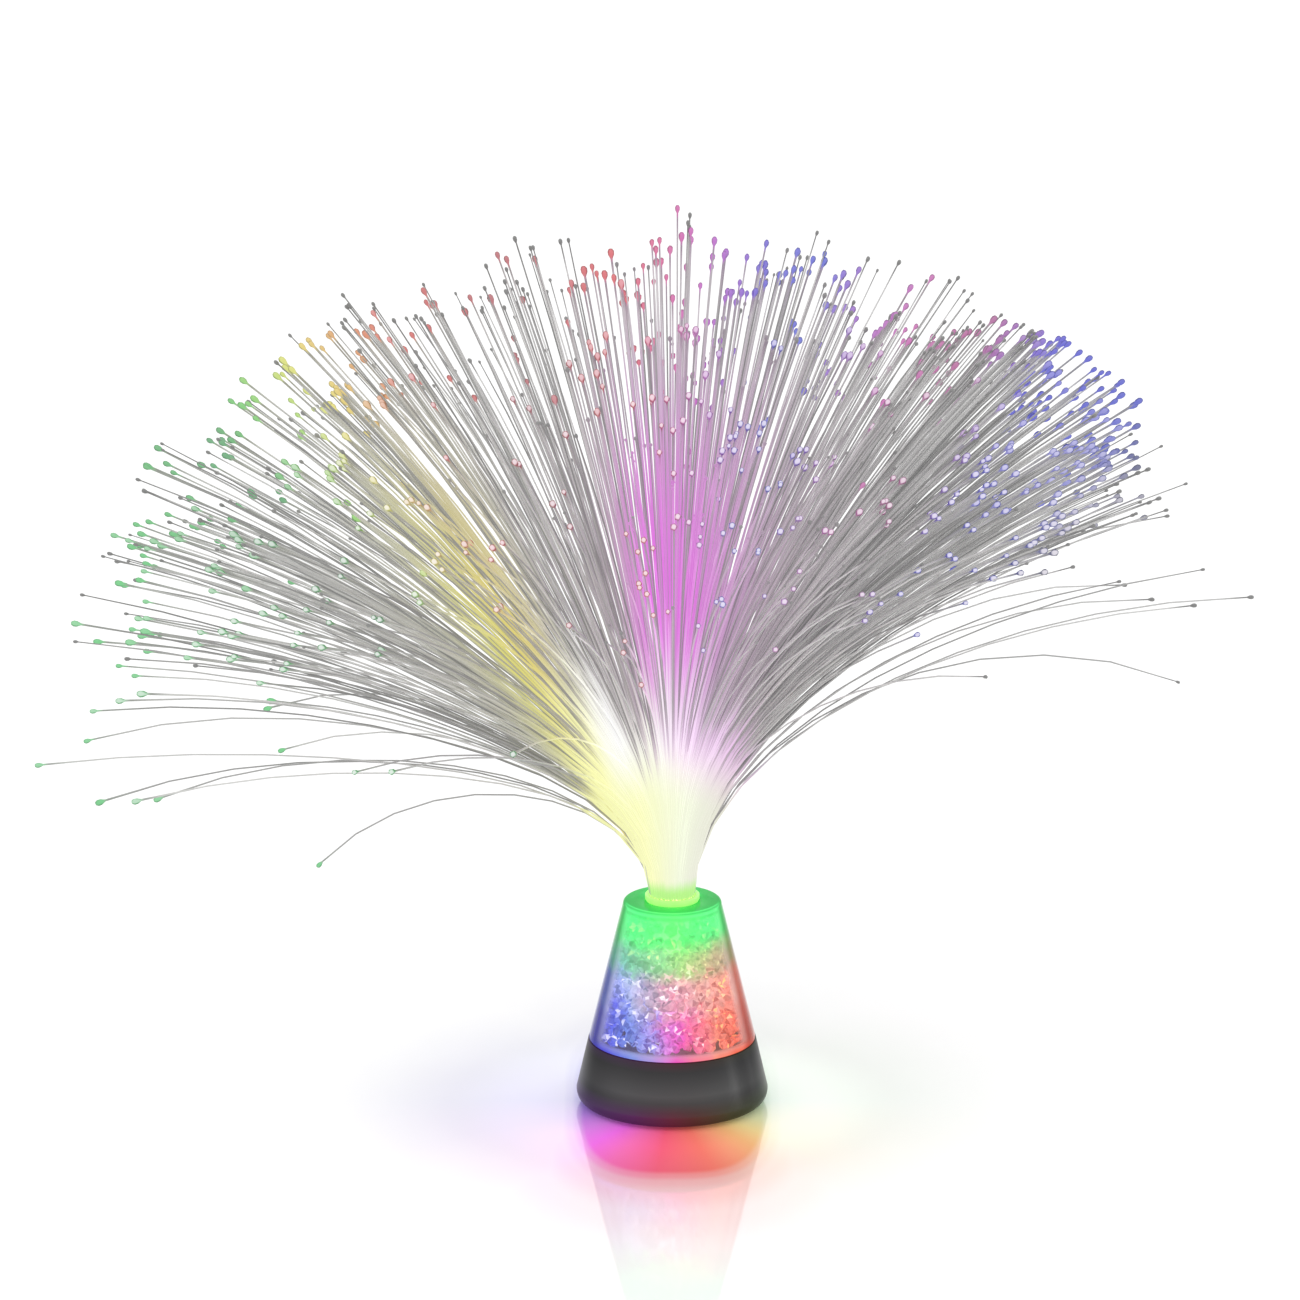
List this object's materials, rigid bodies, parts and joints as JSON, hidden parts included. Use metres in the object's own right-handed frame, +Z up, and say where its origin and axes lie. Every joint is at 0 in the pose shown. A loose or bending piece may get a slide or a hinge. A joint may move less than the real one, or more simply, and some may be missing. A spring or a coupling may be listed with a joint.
{
  "type": "fiber optic lamp",
  "caption": "Battery fibre optic lamp: a wide spray of light fibres lifts out of a clear crystal-filled cone on a black base.",
  "frame": {"origin": "on the surface the lamp stands on, at the lamp's axis", "axes": "+Z up along the cone's axis, -Y to the front that the picture shows, +X to the picture's right"},
  "size_m": [0.4172, 0.3763, 0.3261],
  "materials": {
    "black_housing": "satin moulded plastic",
    "black_underside": "matt moulded plastic",
    "rubber_feet": "matt rubber",
    "clear_acrylic": "clear, polished",
    "clear_crystal": "clear, faceted",
    "frosted_collar": "translucent, satin",
    "light_fibre": "clear drawn fibre",
    "zinc_screw": "bright zinc",
    "nickel_contact": "nickel plated",
    "spring_steel": "plated wire",
    "cell_sleeve": "plain printed sleeve",
    "board_green": "solder resist",
    "chip_black": "moulded epoxy",
    "resistor_tan": "lacquered",
    "capacitor_can": "sleeved can",
    "led_epoxy": "clear epoxy",
    "wire_red": "insulated wire",
    "wire_black": "insulated wire",
    "switch_shell": "plated tin",
    "switch_knob": "moulded plastic"
  },
  "bodies": {
    "lamp_base": {"base_housing": "black_housing", "base_plate": "black_underside", "battery_cell_1": "cell_sleeve", "battery_cell_2": "cell_sleeve", "battery_cell_3": "cell_sleeve", "battery_lead_negative": "wire_black", "battery_lead_positive": "wire_red", "battery_spring_1": "spring_steel", "battery_spring_2": "spring_steel", "battery_spring_3": "spring_steel", "board_screw_1": "zinc_screw", "board_screw_2": "zinc_screw", "board_screw_3": "zinc_screw", "capacitor": "capacitor_can", "circuit_board": "board_green", "clear_cone": "clear_acrylic", "controller_chip": "chip_black", "crystal_layer_1": "clear_crystal", "crystal_layer_2": "clear_crystal", "crystal_layer_3": "clear_crystal", "crystal_layer_4": "clear_crystal", "crystal_led_1": "led_epoxy", "crystal_led_2": "led_epoxy", "crystal_led_3": "led_epoxy", "fibre_led": "led_epoxy", "light_tube": "clear_acrylic", "link_contact_back": "nickel_contact", "link_contact_front": "nickel_contact", "negative_terminal": "nickel_contact", "plate_screw_1": "zinc_screw", "plate_screw_2": "zinc_screw", "plate_screw_3": "zinc_screw", "plate_screw_4": "zinc_screw", "positive_terminal": "nickel_contact", "resistor_1": "resistor_tan", "resistor_2": "resistor_tan", "rubber_foot_1": "rubber_feet", "rubber_foot_2": "rubber_feet", "rubber_foot_3": "rubber_feet", "rubber_foot_4": "rubber_feet", "switch_body": "switch_shell", "switch_lead_1": "wire_red", "switch_lead_2": "wire_red"},
    "fibre_spray": {"spray_ferrule": "frosted_collar", "fibre_slice_1": "light_fibre", "fibre_slice_2": "light_fibre", "fibre_slice_3": "light_fibre", "fibre_slice_4": "light_fibre", "fibre_slice_5": "light_fibre", "fibre_slice_6": "light_fibre", "fibre_slice_7": "light_fibre", "fibre_slice_8": "light_fibre", "fibre_slice_9": "light_fibre"},
    "battery_door": {"battery_door": "black_underside", "door_screw": "zinc_screw"},
    "switch_knob": {"switch_knob": "switch_knob"}
  },
  "joints": [
    {"name": "spray_lift", "type": "slide", "parent": "lamp_base", "child": "fibre_spray", "axis": [0, 0, 1], "range_m": [0, 0.018]},
    {"name": "battery_door_hinge", "type": "hinge", "parent": "lamp_base", "child": "battery_door", "pos_m": [-0.0176, 0, 0.00255], "axis": [0, 1, 0], "range_deg": [0, 35]},
    {"name": "switch_slide", "type": "slide", "parent": "lamp_base", "child": "switch_knob", "axis": [0, -1, 0], "range_m": [0, 0.003]}
  ]
}
